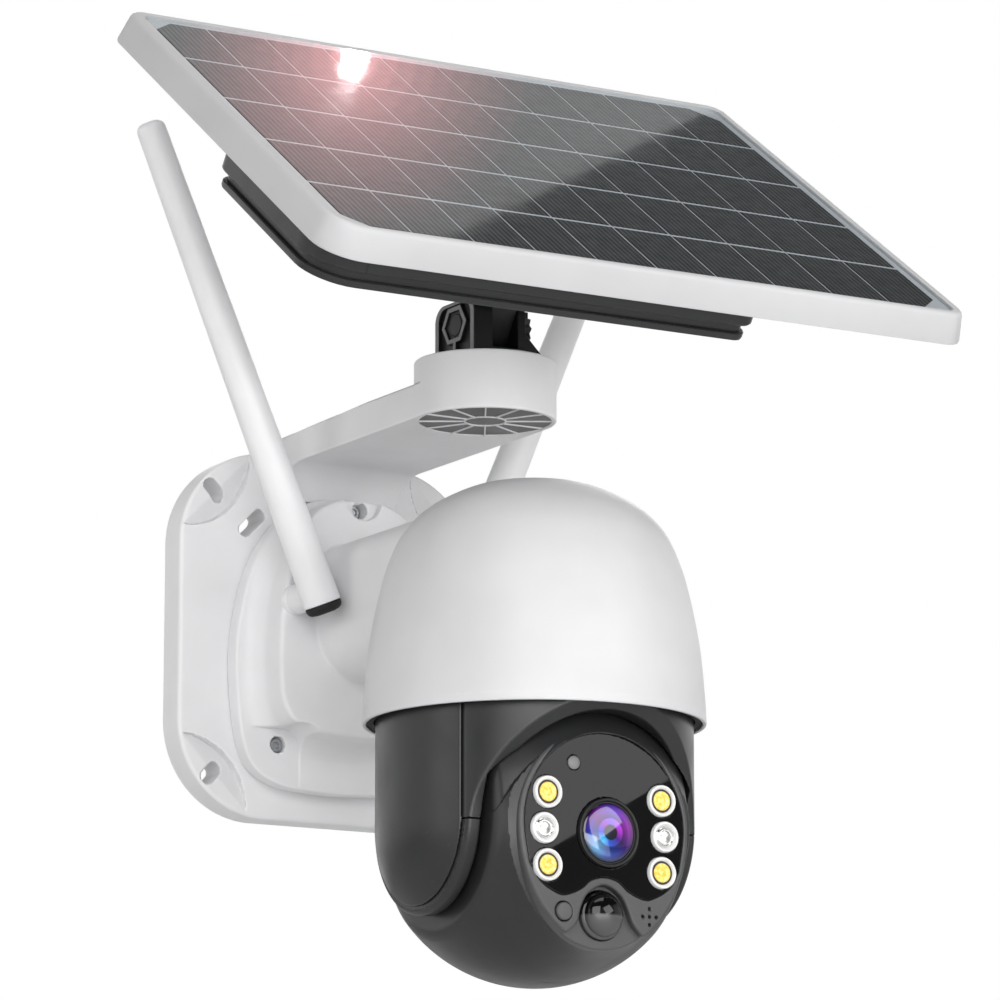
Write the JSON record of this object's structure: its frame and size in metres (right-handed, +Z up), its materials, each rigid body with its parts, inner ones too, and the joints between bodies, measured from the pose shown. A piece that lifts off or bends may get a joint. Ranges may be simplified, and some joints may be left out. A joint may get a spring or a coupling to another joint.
{
  "type": "solar security camera",
  "caption": "Wall-mounted pan-tilt dome camera with two swinging antennas and a tilting solar panel on an arm above it.",
  "frame": {"origin": "centre of the wall plate's back face", "axes": "+Z up, +Y into the wall, so the camera looks along -Y and +X is to the right of someone facing it"},
  "size_m": [0.2574, 0.2495, 0.35],
  "materials": {
    "light_housing": "fine satin texture, light grey",
    "white_housing": "smooth satin, white",
    "dark_housing": "satin charcoal",
    "bezel": "satin dark grey",
    "black_plastic": "black moulded nylon",
    "black_glass": "high gloss black window",
    "black_rubber": "matt black",
    "gear_nylon": "natural nylon",
    "screw_steel": "zinc plated",
    "motor_can": "pressed steel can",
    "circuit_board": "green solder mask",
    "cells": "black silicon with white grid lines",
    "panel_glass": "clear tempered",
    "battery_wrap": "blue shrink wrap",
    "lens_glass": "violet coated",
    "led_reflector": "silvered cup with a yellow emitter",
    "pir_window": "smoked dome"
  },
  "bodies": {
    "base": {"wall_plate": "light_housing", "housing_gasket": "black_rubber", "rear_housing": "light_housing", "housing_screw_top": "screw_steel", "housing_screw_left": "screw_steel", "housing_screw_right": "screw_steel", "panel_arm": "light_housing", "arm_screw_left": "screw_steel", "arm_screw_right": "screw_steel", "antenna_socket_left": "light_housing", "antenna_socket_right": "light_housing", "dome_cover": "white_housing", "rim_seal": "black_rubber", "pan_chassis": "black_plastic", "pan_motor": "motor_can", "main_board": "circuit_board", "battery_left": "battery_wrap", "battery_right": "battery_wrap", "charge_inlet": "black_rubber"},
    "antenna_left": {"antenna_rod_left": "white_housing", "antenna_boot_left": "black_rubber", "antenna_knuckle_left": "black_rubber"},
    "antenna_right": {"antenna_rod_right": "white_housing", "antenna_boot_right": "black_rubber", "antenna_knuckle_right": "black_rubber"},
    "panel_bracket": {"swivel_bracket": "black_plastic", "swivel_bolt": "screw_steel", "tilt_bolt": "black_plastic", "tilt_nut": "black_plastic"},
    "solar_panel": {"panel_frame": "white_housing", "solar_cells": "cells", "panel_glass": "panel_glass", "back_box": "dark_housing", "back_box_cover": "dark_housing", "panel_lug": "black_plastic", "panel_cable_gland": "black_rubber"},
    "yoke": {"yoke_shell": "dark_housing", "ear_cap_left": "dark_housing", "ear_cap_right": "dark_housing", "side_cover_left": "dark_housing", "side_cover_right": "dark_housing", "pan_gear": "gear_nylon"},
    "pan_pinion": {"pan_pinion": "gear_nylon"},
    "head": {"head_front_shell": "dark_housing", "head_rear_shell": "dark_housing", "face_bezel": "bezel", "face_glass": "black_glass", "lens_barrel": "black_plastic", "lens_glass": "lens_glass", "light_sensor": "led_reflector", "pir_lens": "pir_window", "image_sensor_board": "circuit_board", "tilt_motor": "motor_can", "white_led_upper_left": "led_reflector", "white_led_upper_right": "led_reflector", "white_led_lower_left": "led_reflector", "white_led_lower_right": "led_reflector", "infrared_led_left": "led_reflector", "infrared_led_right": "led_reflector"},
    "reset_button": {"reset_button": "black_rubber"}
  },
  "joints": [
    {"name": "antenna_left_swing", "type": "hinge", "parent": "base", "child": "antenna_left", "pos_m": [-0.02891, -0.058, 0.00919], "axis": [0, 1, 0], "range_deg": [-66, 15]},
    {"name": "antenna_right_swing", "type": "hinge", "parent": "base", "child": "antenna_right", "pos_m": [0.02891, -0.058, 0.00919], "axis": [0, -1, 0], "range_deg": [-66, 15]},
    {"name": "panel_swivel", "type": "hinge", "parent": "base", "child": "panel_bracket", "pos_m": [0, -0.1288, 0.085], "axis": [0, 0, 1], "range_deg": [-20, 20]},
    {"name": "panel_tilt", "type": "hinge", "parent": "panel_bracket", "child": "solar_panel", "pos_m": [0, -0.1288, 0.097], "axis": [1, 0, 0], "range_deg": [-15, 30]},
    {"name": "camera_pan", "type": "hinge", "parent": "base", "child": "yoke", "pos_m": [0, -0.1627, -0.026], "axis": [0, 0, 1], "range_deg": [-177, 177]},
    {"name": "pinion_spin", "type": "hinge", "parent": "base", "child": "pan_pinion", "pos_m": [0.03, -0.1627, -0.026], "axis": [0, 0, 1], "range_deg": [-531, 531]},
    {"name": "camera_tilt", "type": "hinge", "parent": "yoke", "child": "head", "pos_m": [0, -0.1627, -0.088], "axis": [1, 0, 0], "range_deg": [-10, 90]},
    {"name": "reset_press", "type": "slide", "parent": "head", "child": "reset_button", "axis": [0, 1, 0], "range_m": [0, 0.0008], "stiffness_N_per_m": 500, "springref_m": -0.0005}
  ],
  "couplings": [
    {"joint": "pinion_spin", "follows": "camera_pan", "ratio": -3}
  ]
}
